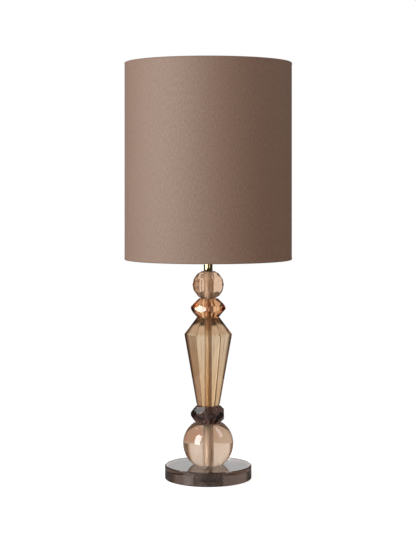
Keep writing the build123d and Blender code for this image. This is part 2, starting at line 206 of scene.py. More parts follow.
def mix_value(tree, factor, first, second):
    """Two values mixed by a factor. The Mix node has its values at sockets 2 and 3."""
    return add(tree, "ShaderNodeMix", {0: factor, 2: first, 3: second},
               data_type="FLOAT").outputs[0]


def mix_colour(tree, factor, first, second, blend="MIX"):
    """Two colours mixed by a factor. The Mix node has its colours at sockets 6 and 7."""
    return add(tree, "ShaderNodeMix", {0: factor, 6: first, 7: second}, data_type="RGBA",
               blend_type=blend).outputs[2]


def rgba(shade):
    """A colour of three parts with its fourth part, 1."""
    return (*shade, 1.0)


def filtered(tree, share, shade, filter_colour):
    """A colour, taken by a share towards its product with the colour of a filter."""
    deep = mix_colour(tree, 1.0, shade, rgba(filter_colour), "MULTIPLY")
    return mix_colour(tree, share, shade, deep)


def noise(tree, place, scale, detail=2.0, roughness=0.5):
    """The grey value of a noise texture."""
    return add(tree, "ShaderNodeTexNoise",
               {"Vector": place, "Scale": scale, "Detail": detail,
                "Roughness": roughness}).outputs["Fac"]


def stretched(tree, place, scales):
    """Coordinates scaled by a different amount along each axis."""
    return add(tree, "ShaderNodeMapping", {"Vector": place, "Scale": scales}).outputs[0]


def bumped(tree, strength, depth, height, **under):
    """The normal of a surface with grain of the given depth. It may lie over another normal."""
    return add(tree, "ShaderNodeBump", {"Strength": strength, "Distance": depth,
                                        "Height": height, **under}).outputs[0]


def new_group(name, vector, colours, values):
    """A shader node group that takes a vector, colours, and values with defaults, and puts out a
    colour, a roughness and a normal. Gives the tree, its inputs and its outputs."""
    tree = bpy.data.node_groups.new(name, "ShaderNodeTree")
    wanted = [(vector, "Vector"), *((label, "Color") for label in colours)]
    for label, kind in wanted:
        tree.interface.new_socket(label, in_out="INPUT", socket_type="NodeSocket" + kind)
    for label, default in values.items():
        socket = tree.interface.new_socket(label, in_out="INPUT", socket_type="NodeSocketFloat")
        socket.default_value = default
    for label, kind in (("Colour", "Color"), ("Roughness", "Float"), ("Normal", "Vector")):
        tree.interface.new_socket(label, in_out="OUTPUT", socket_type="NodeSocket" + kind)
    return tree, add(tree, "NodeGroupInput").outputs, add(tree, "NodeGroupOutput").inputs


def put_out(tree, result, shade, roughness, normal):
    """Wires what a group puts out."""
    tree.links.new(shade, result["Colour"])
    tree.links.new(roughness, result["Roughness"])
    tree.links.new(normal, result["Normal"])


def place_group(tree, name, inputs):
    """Places a node group in a material with its own values, and gives its outputs."""
    return add(tree, "ShaderNodeGroup", inputs, node_tree=bpy.data.node_groups[name]).outputs


def new_material(name):
    """A material without nodes, and its tree."""
    material = bpy.data.materials.new(name)
    material.use_nodes = True
    material.node_tree.nodes.clear()
    return material, material.node_tree


# ---- effects that several materials share ----

def group_glass_lustre():
    """Tinted glass. Its colour clouds a little, deepens downwards and above the shoulder, and
    runs in dark streaks up the glass, partly veins and partly painted shade where the dark tube
    would show. Its surface has faint polishing marks and a ripple, is satin all over and more so
    above the shoulder, and is frosted, with fine grain and coarse pits, where it is within a
    given distance of the axis or, if its ends are ground, at its lowest or greatest height."""
    tree, given, result = new_group(
        "glass_lustre", "Place", ("Colour", "Low colour", "Top colour"),
        {"Low height": 0.0, "High height": 1.0, "Shoulder height": 1.0, "Veins": 0.0,
         "Ripple": 0.0, "Frost radius": 0.006, "Frost": 0.5, "Ground ends": 1.0,
         "Pitting": 0.0, "Satin": 0.0})
    place = given["Place"]
    parts = separated(tree, place)
    square = maths(tree, "ADD", maths(tree, "MULTIPLY", parts[0], parts[0]),
                   maths(tree, "MULTIPLY", parts[1], parts[1]))
    distance = maths(tree, "SQRT", square)

    # where the glass is frosted
    frost_end = maths(tree, "ADD", given["Frost radius"], 0.4 * MM)
    bore = spread(tree, distance, given["Frost radius"], frost_end, 1.0, 0.0)
    above = maths(tree, "SUBTRACT", parts[2], given["Low height"])
    below = maths(tree, "SUBTRACT", given["High height"], parts[2])
    nearer = maths(tree, "MINIMUM", above, below)
    ends = spread(tree, nearer, 0.1 * MM, 0.2 * MM, 1.0, 0.0)
    frost = maths(tree, "MAXIMUM", bore, maths(tree, "MULTIPLY", ends, given["Ground ends"]))

    # the colour
    rise = spread(tree, parts[2], given["Low height"], given["High height"])
    tint = mix_colour(tree, rise, given["Low colour"], given["Colour"])
    over = maths(tree, "SUBTRACT", parts[2], given["Shoulder height"])
    crown = spread(tree, over, -1.0 * MM, 4.0 * MM)
    tint = mix_colour(tree, crown, tint, given["Top colour"])
    cloud_share, white = 0.07, (1, 1, 1, 1)
    clouds = noise(tree, place, scale=38.0, detail=3.0)
    cloud = spread(tree, clouds, 0.3, 0.7, 0.0, cloud_share)
    tint = mix_colour(tree, cloud, tint, white)
    upright = add(tree, "ShaderNodeCombineXYZ",
                  {0: maths(tree, "DIVIDE", parts[0], distance),
                   1: maths(tree, "DIVIDE", parts[1], distance),
                   2: maths(tree, "MULTIPLY", parts[2], 3.0)}).outputs[0]
    # dark streaks up the glass: partly veins, partly painted shade for the dark tube seen through
    # it
    vein_and_shade = spread(tree, noise(tree, upright, scale=9.0, roughness=0.6), 0.50, 0.68)
    vein_and_shade_colour = (0.34, 0.20, 0.12)
    tint = filtered(tree, maths(tree, "MULTIPLY", vein_and_shade, given["Veins"]), tint, vein_and_shade_colour)

    # the surface
    brightest, dullest, crown_satin, pit_depth = 0.002, 0.012, 0.25, 30.0
    marks = noise(tree, stretched(tree, place, (300, 300, 90)), scale=1.0)
    polish = spread(tree, marks, 0.55, 0.8, brightest, dullest)
    rough = maths(tree, "ADD", polish, maths(tree, "MULTIPLY", frost, given["Frost"]))
    rough = maths(tree, "ADD", rough, maths(tree, "MULTIPLY", crown, crown_satin))
    rough = maths(tree, "ADD", rough, given["Satin"])
    pits = maths(tree, "MULTIPLY", noise(tree, place, scale=260.0, detail=3.0), given["Pitting"])
    pits = maths(tree, "MULTIPLY", pits, pit_depth)
    grain = maths(tree, "ADD", noise(tree, place, scale=4200.0), pits)
    waves = noise(tree, place, scale=210.0, detail=1.0)
    ripple = bumped(tree, given["Ripple"], 0.6 * MM, waves)
    bump = bumped(tree, maths(tree, "MULTIPLY", frost, 0.35), 0.2 * MM, grain, Normal=ripple)
    put_out(tree, result, tint, rough, bump)


def group_metal_wear():
    """Metal or plastic: fine scratches, dull patches and a slight change of shade."""
    tree, given, result = new_group(
        "fine_wear", "Place", ("Colour",),
        {"Roughness": 0.3, "Grain": 0.1, "Grain scale": 2000.0, "Patch": 0.1})
    place = given["Place"]
    patches = noise(tree, place, scale=120.0, detail=4.0, roughness=0.6)
    upright = stretched(tree, place, (1.0, 1.0, 0.08))
    scratches = noise(tree, upright, given["Grain scale"], detail=3.0)
    shade = spread(tree, patches, 0.35, 0.65)
    black = (0, 0, 0, 1)
    darker = mix_colour(tree, given["Patch"], given["Colour"], black)
    tint = mix_colour(tree, shade, darker, given["Colour"])
    lift = maths(tree, "MULTIPLY", given["Patch"], shade)
    scratched = maths(tree, "MULTIPLY", maths(tree, "SUBTRACT", scratches, 0.5), given["Grain"])
    rough = maths(tree, "ADD", given["Roughness"], maths(tree, "ADD", lift, scratched))
    put_out(tree, result, tint, rough, bumped(tree, given["Grain"], 0.1 * MM, scratches))


def group_woven_silk():
    """Slubbed silk on flat cloth coordinates in metres: thin warp threads up the shade, weft
    threads round it, and slubs where a weft thread is thick and pale, many a few millimetres
    long and some a centimetre or more. Darker bands and fibres run through both."""
    tree, given, result = new_group("woven_silk", "Cloth", ("Weft", "Warp"),
                                    {"Thread": 0.4 * MM, "Slub": 0.22})
    cloth = given["Cloth"]

    def streaks(round_it, up_it, detail):
        """Noise with a number of grains to the metre round the shade and another up it."""
        grid = stretched(tree, cloth, (round_it, up_it, 1))
        return noise(tree, grid, scale=1.0, detail=detail, roughness=0.6)

    def wave(part):
        """A wave from 0 to 1 once in each thread."""
        turns = maths(tree, "MULTIPLY", maths(tree, "DIVIDE", part, given["Thread"]), 2 * pi)
        return spread(tree, maths(tree, "SINE", turns), -1.0, 1.0, smooth=False)

    warp_wave, weft_wave = [wave(part) for part in separated(tree, cloth)[:2]]
    long_slub, short_slub = streaks(90, 900, 2.0), streaks(360, 900, 2.0)
    bands, fibres = streaks(20, 420, 3.0), streaks(560, 150, 3.0)
    long_share, band_share, fibre_share, raw_share = 0.35, 0.10, 0.50, 0.5
    slub = maths(tree, "ADD", spread(tree, short_slub, 0.40, 0.80),
                 maths(tree, "MULTIPLY", spread(tree, long_slub, 0.56, 0.80), long_share))
    slub = maths(tree, "MULTIPLY", slub, given["Slub"])
    weft_shows = spread(tree, weft_wave, 0.0, 1.0, 0.35, 0.85)
    base = mix_colour(tree, weft_shows, given["Warp"], given["Weft"])
    base = mix_colour(tree, spread(tree, bands, 0.3, 0.7, 0.0, band_share), base, given["Warp"])
    raw_silk = (0.95, 0.85, 0.72, 1)
    pale = mix_colour(tree, raw_share, given["Weft"], raw_silk)
    tint = mix_colour(tree, slub, base, pale)
    dark_fibres = spread(tree, fibres, 0.3, 0.7, 0.0, fibre_share)
    tint = mix_colour(tree, dark_fibres, tint, given["Warp"])
    slub_height = 2.0
    height = maths(tree, "ADD", maths(tree, "MULTIPLY", warp_wave, weft_wave),
                   maths(tree, "MULTIPLY", slub, slub_height))
    plain_rough, slub_rough = 0.76, 0.62
    rough = spread(tree, slub, 0.0, 0.6, plain_rough, slub_rough)
    put_out(tree, result, tint, rough, bumped(tree, 0.35, 0.12 * MM, height))


# ---- materials ----

def coloured_glass(name, tint, low_height, high_height, bore, thickness, *, low_tint=None,
                   top_tint=None, shoulder=1.0, body=0.5, rim=0.6, slant_shade_range=(0.40, 0.95),
                   edge=None, outline_shade_range=(0.50, 0.82), middle_shade=None, veins=0.0, ripple=0.0,
                   ground_ends=1.0, frost=0.5, pitting=0.0, satin=0.0):
    """Clear tinted glass with a frosted bore. The tint is what a straight look through the given
    thickness leaves of white light. The body takes a part of it along the light's way, at a loss
    of -body ln(tint) / thickness to the metre, and the surface takes the rest. Painted shade
    darkens it further where a facet is seen at a slant (rim), towards the outline of the round
    that the piece is cut from (edge), and in a narrow strip down its middle, where dark
    surroundings and the tube would show. The low and top tints, and the values from the veins
    on, are the glass lustre's."""
    material, tree = new_material(name)
    place = add(tree, "ShaderNodeTexCoord").outputs["Object"]
    tints = {"Colour": tint, "Low colour": low_tint or tint, "Top colour": top_tint or tint}
    coats = {label: rgba(channel ** (1 - body) for channel in part)
             for label, part in tints.items()}
    lustre = place_group(tree, "glass_lustre", {
        "Place": place, **coats, "Low height": low_height, "High height": high_height,
        "Shoulder height": shoulder, "Veins": veins, "Ripple": ripple, "Frost radius": bore,
        "Frost": frost, "Ground ends": ground_ends, "Pitting": pitting, "Satin": satin})
    slant = add(tree, "ShaderNodeLayerWeight", {"Blend": 0.5}).outputs["Facing"]
    level = vector_maths(tree, "MULTIPLY", place, (1, 1, 0))[0]
    outward = vector_maths(tree, "NORMALIZE", level)[0]
    outline = add(tree, "ShaderNodeLayerWeight", {"Blend": 0.5,
                                                  "Normal": outward}).outputs["Facing"]
    # painted shade: the colour darkens at slanted facets (rim), towards the outline (edge) and
    # down the middle strip
    slant_shade_filter, middle_shade_range = (0.45, 0.28, 0.18), (0.004, 0.030)
    shown = filtered(tree, spread(tree, slant, *slant_shade_range, 0.0, rim), lustre["Colour"],
                     slant_shade_filter)
    if edge:
        shown = filtered(tree, spread(tree, outline, *outline_shade_range), shown, edge)
    if middle_shade:
        shown = filtered(tree, spread(tree, outline, *middle_shade_range, 1.0, 0.0), shown, middle_shade)
    surface = add(tree, "ShaderNodeBsdfPrincipled",
                  {"Base Color": shown, "Roughness": lustre["Roughness"],
                   "Normal": lustre["Normal"], "IOR": 1.52, "Transmission Weight": 1.0})
    # The volume loses density times (1 - colour). A density over the greatest loss leaves every
    # channel of that colour above 0.
    loss = [-body * log(channel) / thickness for channel in tint]
    density = 1.1 * max(loss)
    deep = rgba(1 - part / density for part in loss)
    volume = add(tree, "ShaderNodeVolumeAbsorption", {"Color": deep, "Density": density})
    add(tree, "ShaderNodeOutputMaterial", {"Surface": surface.outputs[0],
                                           "Volume": volume.outputs[0]})
    return material


def worn_surface(name, tint, roughness, metallic=0.0, grain=0.1, grain_scale=2000.0, patch=0.1,
                 **sockets):
    """Metal, plastic, paint or ceramic with fine wear."""
    material, tree = new_material(name)
    place = add(tree, "ShaderNodeTexCoord").outputs["Object"]
    wear = place_group(tree, "fine_wear",
                       {"Place": place, "Colour": rgba(tint), "Roughness": roughness,
                        "Grain": grain, "Grain scale": grain_scale, "Patch": patch})
    surface = add(tree, "ShaderNodeBsdfPrincipled",
                  {"Base Color": wear["Colour"], "Roughness": wear["Roughness"],
                   "Normal": wear["Normal"], "Metallic": metallic, **sockets})
    add(tree, "ShaderNodeOutputMaterial", {"Surface": surface.outputs[0]})
    return material


def silk(name, weft, warp):
    """The shade's fabric: woven silk with a soft sheen."""
    material, tree = new_material(name)
    cloth = add(tree, "ShaderNodeUVMap", uv_map="cloth").outputs[0]
    weave = place_group(tree, "woven_silk", {"Cloth": cloth, "Weft": rgba(weft),
                                             "Warp": rgba(warp)})
    surface = add(tree, "ShaderNodeBsdfPrincipled",
                  {"Base Color": weave["Colour"], "Roughness": weave["Roughness"],
                   "Normal": weave["Normal"], "Specular IOR Level": 0.75,
                   "Specular Tint": (0.80, 1.0, 0.95, 1), "Sheen Weight": 0.04,
                   "Sheen Roughness": 0.4})
    add(tree, "ShaderNodeOutputMaterial", {"Surface": surface.outputs[0]})
    return material


# ---- building blocks: surfaces ----

def new_object(name, mesh, material):
    """Puts a mesh into the scene at the origin, with one material."""
    mesh.materials.clear()
    mesh.materials.append(material)
    piece = bpy.data.objects.new(name, mesh)
    bpy.context.scene.collection.objects.link(piece)
    return piece


def mesh_piece(name, points, faces, material, smooth=True):
    """A piece from an array of points and lists of corner numbers, with its doubles merged and
    its faces pointing outwards."""
    mesh = bpy.data.meshes.new(name)
    mesh.from_pydata(points.tolist(), [], faces)
    mesh.update()
    work = bmesh.new()
    work.from_mesh(mesh)
    bmesh.ops.remove_doubles(work, verts=work.verts, dist=0.0001 * MM)
    bmesh.ops.recalc_face_normals(work, faces=work.faces)
    work.to_mesh(mesh)
    work.free()
    if smooth:
        mesh.shade_smooth()
    else:
        mesh.shade_flat()
    return new_object(name, mesh, material)


def grid_faces(rows, columns, rows_close, columns_close):
    """Corner numbers of the quads of a grid that may close on itself either way."""
    row = np.arange(rows if rows_close else rows - 1)
    column = np.arange(columns if columns_close else columns - 1)
    row, column = np.meshgrid(row, column, indexing="ij")
    next_row, next_column = (row + 1) % rows, (column + 1) % columns
    corners = [row * columns + column, row * columns + next_column,
               next_row * columns + next_column, next_row * columns + column]
    return np.stack(corners, axis=-1).reshape(-1, 4).tolist()


def round_axis(radius, angle, height):
    """Points of a grid round the axis: x = r cos a, y = r sin a, z = h."""
    x, y = radius * np.cos(angle), radius * np.sin(angle)
    return np.stack([x, y, np.broadcast_to(height, x.shape)], axis=-1).reshape(-1, 3)


def soft_step(share):
    """A soft rise from 0 to 1: 3 s^2 - 2 s^3."""
    return 3 * share ** 2 - 2 * share ** 3


def rounded(outline, radius, steps=5):
    """An outline with each corner cut back by the radius along both sides and joined by a
    parabola: (1 - t)^2 a + 2 t (1 - t) corner + t^2 b. A corner on the axis stays sharp."""
    corners = np.asarray(outline, float)
    before = np.roll(corners, 1, axis=0) - corners
    after = np.roll(corners, -1, axis=0) - corners
    before_length = np.linalg.norm(before, axis=1, keepdims=True)
    after_length = np.linalg.norm(after, axis=1, keepdims=True)
    tiny, most = 0.001 * MM, 0.45
    cut = np.minimum(radius, most * np.minimum(before_length, after_length))
    cut = np.where(corners[:, :1] < tiny, tiny, cut)
    start = (corners + before / before_length * cut)[:, None]
    end = (corners + after / after_length * cut)[:, None]
    t = np.linspace(0, 1, steps)[None, :, None]
    curve = (1 - t) ** 2 * start + 2 * t * (1 - t) * corners[:, None] + t ** 2 * end
    return curve.reshape(-1, 2)


def turned(name, outline, material, steps=128):
    """A closed profile of radii and heights, carried round the axis."""
    profile = np.asarray(outline, float)
    angle = np.linspace(0, 2 * pi, steps, endpoint=False)
    points = round_axis(profile[:, :1], angle, profile[:, 1:])
    return mesh_piece(name, points, grid_faces(len(profile), steps, True, True), material)


def cut_glass(name, node, material, bevel, bore):
    """A copy of a faceted node with its loose triangles merged, flat faces made whole, the bore
    shaded round and the edges between facets polished to a narrow bevel."""
    same_plane, sharp_edge, upright = radians(0.5), radians(12), 0.5
    mesh = nodes[node].data.copy()
    mesh.name = name
    work = bmesh.new()
    work.from_mesh(mesh)
    bmesh.ops.remove_doubles(work, verts=work.verts, dist=0.001 * MM)
    bmesh.ops.dissolve_limit(work, angle_limit=same_plane, verts=work.verts, edges=work.edges)
    for face in work.faces:
        middle = face.calc_center_median()
        inside = (middle.x ** 2 + middle.y ** 2) ** 0.5 < bore
        face.smooth = inside and abs(face.normal.z) < upright
    work.to_mesh(mesh)
    work.free()
    piece = new_object(name, mesh, material)
    polish = piece.modifiers.new("polished_edges", "BEVEL")
    polish.width = bevel
    polish.segments = 2
    polish.limit_method = "ANGLE"
    polish.angle_limit = sharp_edge
    polish.harden_normals = False
    return piece


def dress(node, material):
    """Gives a CAD node its finish."""
    nodes[node].data.materials.clear()
    nodes[node].data.materials.append(material)


def stand_for(piece, body, *replaced):
    """Puts a piece on a body in place of CAD nodes, which it hides."""
    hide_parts(*replaced)
    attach(piece, body)


# ---- the pieces ----

CRYSTALS = ("big_ball", "lower_rondelle", "tapered_column", "upper_rondelle", "faceted_ball")
STEEL = (0.62, 0.62, 0.63)


class LAMP_OT_effects(bpy.types.Operator):
    """Builds the node groups that the materials share"""
    bl_idname = "lamp.effects"
    bl_label = "Shared effects"

    def execute(self, context):
        group_glass_lustre()
        group_metal_wear()
        group_woven_silk()
        return {"FINISHED"}


class LAMP_OT_foot(bpy.types.Operator):
    """Finishes the glass foot, its felt pad, its bush and the nut under it"""
    bl_idname = "lamp.foot"
    bl_label = "Foot"

    def execute(self, context):
        recess = 15.2 * MM
        glass = coloured_glass("smoky_glass", context.scene.lamp_colours.foot,
                               low("base_disc"), high("base_disc"), recess,
                               2 * reach("base_disc"), body=0.85, rim=0.2, ground_ends=0.0,
                               pitting=1.0)
        dress("base_disc", glass)
        felt = worn_surface("black_felt", (0.03, 0.025, 0.022), 0.95, grain=0.9,
                            grain_scale=3000.0, patch=0.3)
        stand_for(self.pad(felt), "stand", "base_pad")
        dress("cord_bush", worn_surface("black_bush", (0.02, 0.02, 0.02), 0.4, grain=0.15))
        zinc = worn_surface("zinc_steel", STEEL, 0.3, metallic=1.0, grain=0.2, patch=0.15)
        for node in ("base_washer", "lock_washer", "base_nut"):
            dress(node, zinc)
        return {"FINISHED"}

    def pad(self, felt):
        """A thin disc with a soft edge, its outline carried round the axis. It ends a hair's
        breadth short of the glass above it."""
        gap, soft_edge = 0.06 * MM, 0.3 * MM
        radius, top = reach("base_pad"), high("base_pad") - gap
        outline = rounded([(0, 0), (radius, 0), (radius, top), (0, top)], soft_edge)
        return turned("felt_pad", outline, felt, steps=160)


class LAMP_OT_crystals(bpy.types.Operator):
    """Makes the five crystals of the stem"""
    bl_idname = "lamp.crystals"
    bl_label = "Crystals"

    def execute(self, context):
        sizes, colours = context.scene.lamp_sizes, context.scene.lamp_colours
        bore = 5.5 * MM
        frost = bore + 0.1 * MM
        looks = self.looks(colours)
        for node in CRYSTALS:
            tint = getattr(colours, node.replace("tapered_", ""))
            thickness = 1.9 * reach(node)
            glass = coloured_glass(node + "_glass", tint, low(node), high(node), frost,
                                   thickness, **looks[node])
            if node == "big_ball":
                piece = self.smooth_ball(node, glass, bore)
            else:
                piece = cut_glass(node + "_cut", node, glass, sizes.facet_bevel, frost)
            stand_for(piece, "stand", node)
        return {"FINISHED"}

    def looks(self, colours):
        """What each crystal's glass has of its own."""
        crown = 25.2 * MM
        shoulder = high("tapered_column") - crown
        # rim, edge and the middle strip set the painted shade on each crystal, and the streaks up
        # the glass are partly painted shade
        return {
            "big_ball": {"body": 0.5, "rim": 0.8},
            "lower_rondelle": {"body": 0.8, "rim": 0.5, "edge": (0.4, 0.3, 0.25),
                               "ripple": 0.15},
            "tapered_column": {"low_tint": colours.column_foot,
                               "top_tint": colours.column_crown, "shoulder": shoulder,
                               "body": 0.5, "rim": 0.4, "edge": (0.06, 0.03, 0.02),
                               "outline_shade_range": (0.62, 0.86), "veins": 0.4},
            "upper_rondelle": {"body": 0.7, "rim": 1.0, "slant_shade_range": (0.12, 0.60),
                               "edge": (0.20, 0.05, 0.03), "outline_shade_range": (0.30, 0.62),
                               "middle_shade": (0.42, 0.28, 0.24), "veins": 0.6, "ripple": 0.15},
            "faceted_ball": {"body": 0.6, "rim": 0.4, "edge": (0.34, 0.16, 0.10),
                             "ripple": 0.5, "satin": 0.10},
        }

    def smooth_ball(self, node, glass, bore):
        """An arc from the lower ground flat to the upper one, r = R cos t and h = c + R sin t,
        carried round, with a bore. The rims of the flats and of the bore have a narrow edge."""
        radius, bottom, top = reach(node), low(node), high(node)
        middle = (bottom + top) / 2
        limit = np.arcsin((top - bottom) / 2 / radius)
        rise = np.linspace(-limit, limit, 97)
        arc = np.stack([radius * np.cos(rise), middle + radius * np.sin(rise)], axis=-1)
        edge = 0.4 * MM
        arc[0] += (-edge, 0)
        arc[-1] += (-edge, 0)
        arc[1, 1] = max(arc[1, 1], bottom + edge / 2)
        outline = np.concatenate([arc, [(bore + edge, top), (bore, top - edge)],
                                  [(bore, bottom + edge), (bore + edge, bottom)]])
        return turned("big_ball_glass", outline, glass, steps=192)


class LAMP_OT_stem(bpy.types.Operator):
    """Makes the threaded tube and the brass neck, and finishes the clear spacers"""
    bl_idname = "lamp.stem"
    bl_label = "Stem"

    def execute(self, context):
        sizes, colours = context.scene.lamp_sizes, context.scene.lamp_colours
        brass = worn_surface("polished_brass", colours.brass, 0.015, metallic=1.0, grain=0.01,
                             patch=0.02)
        zinc = worn_surface("thread_zinc", (0.95, 0.94, 0.90), 0.55, metallic=1.0, grain=0.1)
        stand_for(self.threaded_tube(zinc, sizes.thread_pitch), "stand", "threaded_tube")
        stand_for(self.neck(brass), "stand", "neck_tube")
        spacer = worn_surface("clear_spacer", (0.85, 0.82, 0.78), 0.25, grain=0.05,
                              **{"Transmission Weight": 0.9, "IOR": 1.45})
        dress("spacer_washers", spacer)
        return {"FINISHED"}

    def threaded_tube(self, material, pitch):
        """A tube whose outer radius falls and rises once in each pitch of a right-hand helix:
        r = R - d |2 f - 1|, with f the fraction of (z / pitch - a / 2 pi). Two last rows of
        points make the bore."""
        outer, inner = reach("threaded_tube"), 3.9 * MM
        bottom, top = low("threaded_tube"), high("threaded_tube")
        depth = 0.35 * pitch
        rows_in_pitch, steps = 4, 32
        rows = int((top - bottom) / pitch * rows_in_pitch)
        height = np.linspace(bottom, top, rows)[:, None]
        angle = np.linspace(0, 2 * pi, steps, endpoint=False)[None, :]
        fraction = (height / pitch - angle / (2 * pi)) % 1.0
        radius = outer - depth * np.abs(2 * fraction - 1)
        radius = np.concatenate([radius, np.full((2, steps), inner)])
        height = np.concatenate([height, [[top], [bottom]]])
        points = round_axis(radius, angle, height)
        return mesh_piece("tube_thread", points, grid_faces(rows + 2, steps, True, True),
                          material)

    def neck(self, material):
        """A plain sleeve with rounded rims, its outline carried round the axis."""
        outer, inner, rim = reach("neck_tube"), 5.1 * MM, 0.5 * MM
        bottom, top = low("neck_tube"), high("neck_tube")
        outline = rounded([(inner, bottom), (outer, bottom), (outer, top), (inner, top)], rim)
        return turned("neck_sleeve", outline, material, steps=96)


class LAMP_OT_holder(bpy.types.Operator):
    """Finishes the lampholder and what clamps the shade"""
    bl_idname = "lamp.holder"
    bl_label = "Lampholder"

    def execute(self, context):
        black = worn_surface("black_plastic", (0.018, 0.018, 0.02), 0.42, grain=0.2, patch=0.2)
        white = worn_surface("white_plastic", (0.80, 0.78, 0.74), 0.4, grain=0.15)
        ceramic = worn_surface("steatite", (0.70, 0.67, 0.60), 0.7, grain=0.4)
        brass = worn_surface("contact_brass", context.scene.lamp_colours.brass, 0.3,
                             metallic=1.0, grain=0.15)
        steel = worn_surface("screw_steel", STEEL, 0.28, metallic=1.0, grain=0.15)
        finishes = {"holder_cap": black, "holder_skirt": black, "ring_nut": black,
                    "reducer_ring": white, "holder_insert": ceramic, "centre_contact": brass,
                    "screw_shell": brass, "grub_screw": steel, "terminal_screws": steel}
        for node, material in finishes.items():
            dress(node, material)
        return {"FINISHED"}


class LAMP_OT_shade(bpy.types.Operator):
    """Makes the shade's fabric with its rolled rims, and finishes its liner and wire frame"""
    bl_idname = "lamp.shade"
    bl_label = "Shade"

    def execute(self, context):
        sizes, colours = context.scene.lamp_sizes, context.scene.lamp_colours
        cover = self.fabric_cover(sizes, silk("shade_silk", colours.weft, colours.warp))
        stand_for(cover, "shade", "shade_cover", "bottom_hem", "top_hem")
        paint = worn_surface("white_paint", (0.78, 0.77, 0.74), 0.3, grain=0.1, patch=0.12)
        wires = ["spider_hub", "bottom_wire", "top_wire"]
        for node in wires + [f"spider_spoke_{number}" for number in (1, 2, 3)]:
            dress(node, paint)
        dress("shade_liner", worn_surface("liner_sheet", (0.78, 0.75, 0.69), 0.5, grain=0.1))
        return {"FINISHED"}

    def profile(self, sizes):
        """Radii and heights of the cloth from inside the lower rim to inside the upper one. It
        goes down the tuck, round the rim as half an ellipse, in to the wall with a soft step, up
        the wall, and back in at the top."""
        bottom, top, wall = low("bottom_hem"), high("top_hem"), sizes.shade_radius
        proud = reach("top_hem") - 0.1 * MM
        inner = reach("top_wire") - 3.3 * MM
        half_width, half_depth = (proud - inner) / 2, sizes.roll_depth / 2
        turn = np.linspace(pi, 2 * pi, 17)
        roll = np.stack([inner + half_width + half_width * np.cos(turn),
                         half_depth * (1 + np.sin(turn))], axis=-1)
        share = np.linspace(0, 1, 6)[1:]
        settle = np.stack([proud - (proud - wall) * soft_step(share),
                           half_depth + share * sizes.roll_depth], axis=-1)
        lower = np.concatenate([[(inner, sizes.tuck)], roll, settle])
        upper = lower[::-1] * [1, -1] + [0, top]
        wall_rows = 39
        heights = np.linspace(bottom + lower[-1, 1], upper[0, 1], wall_rows + 2)[1:-1]
        middle = np.stack([np.full(wall_rows, wall), heights], axis=-1)
        return np.concatenate([lower + [0, bottom], middle, upper])

    def fabric_cover(self, sizes, fabric):
        """Cloth on a profile carried once round the shade and on by the seam's width, from the
        back. Over the last seam's width before the overlap it rises by the seam's step."""
        profile = self.profile(sizes)
        wall, width, steps = sizes.shade_radius, sizes.seam_width, 288
        seam_turn = width / wall
        angle = np.linspace(0, 2 * pi + seam_turn, steps) + pi / 2 - seam_turn / 2
        along = np.linspace(0, 1, steps) * (2 * pi + seam_turn) * wall
        share = np.clip((along - (2 * pi * wall - width)) / width, 0, 1)
        lift = sizes.seam_step * soft_step(share)
        points = round_axis(profile[:, :1] + lift[None, :], angle, profile[:, 1:])
        faces = grid_faces(len(profile), steps, False, False)
        piece = mesh_piece("fabric_cover", points, faces, fabric)
        steps_up = np.linalg.norm(np.diff(profile, axis=0), axis=1)
        self.cloth_coordinates(piece, np.concatenate([[0], np.cumsum(steps_up)]), along)
        thickness = piece.modifiers.new("cloth_thickness", "SOLIDIFY")
        thickness.thickness = sizes.cloth_thickness
        thickness.offset = -1
        thickness.use_even_offset = True
        return piece

    def cloth_coordinates(self, piece, up, along):
        """Writes each corner's place on the flat cloth, in metres, into a UV map."""
        flat = np.stack(np.meshgrid(up, along, indexing="ij"), axis=-1)[..., ::-1]
        flat = flat.reshape(-1, 2)
        mesh = piece.data
        corner = np.zeros(len(mesh.loops), int)
        mesh.loops.foreach_get("vertex_index", corner)
        layer = mesh.uv_layers.new(name="cloth")
        layer.uv.foreach_set("vector", flat[corner].astype(np.float32).ravel())


class LAMP_OT_bulb(bpy.types.Operator):
    """Finishes the bulb"""
    bl_idname = "lamp.bulb"
    bl_label = "Bulb"

    def execute(self, context):
        clear = coloured_glass("bulb_clear", (0.97, 0.97, 0.96), low("bulb_glass"),
                               high("bulb_glass"), 0.0, reach("bulb_glass"), rim=0.0,
                               ground_ends=0.0)
        nickel = worn_surface("nickel_cap", (0.66, 0.63, 0.58), 0.25, metallic=1.0, grain=0.1)
        black = worn_surface("black_glass", (0.01, 0.01, 0.012), 0.1, grain=0.05)
        amber = worn_surface("filament_coat", (0.85, 0.55, 0.10), 0.5, grain=0.3)
        finishes = {"bulb_glass": clear, "bulb_stem": clear, "bulb_cap": nickel,
                    "bulb_tip": nickel, "filament_supports": nickel, "bulb_insulator": black,
                    "filaments": amber}
        for node, material in finishes.items():
            dress(node, material)
        return {"FINISHED"}


# ---- the studio ----

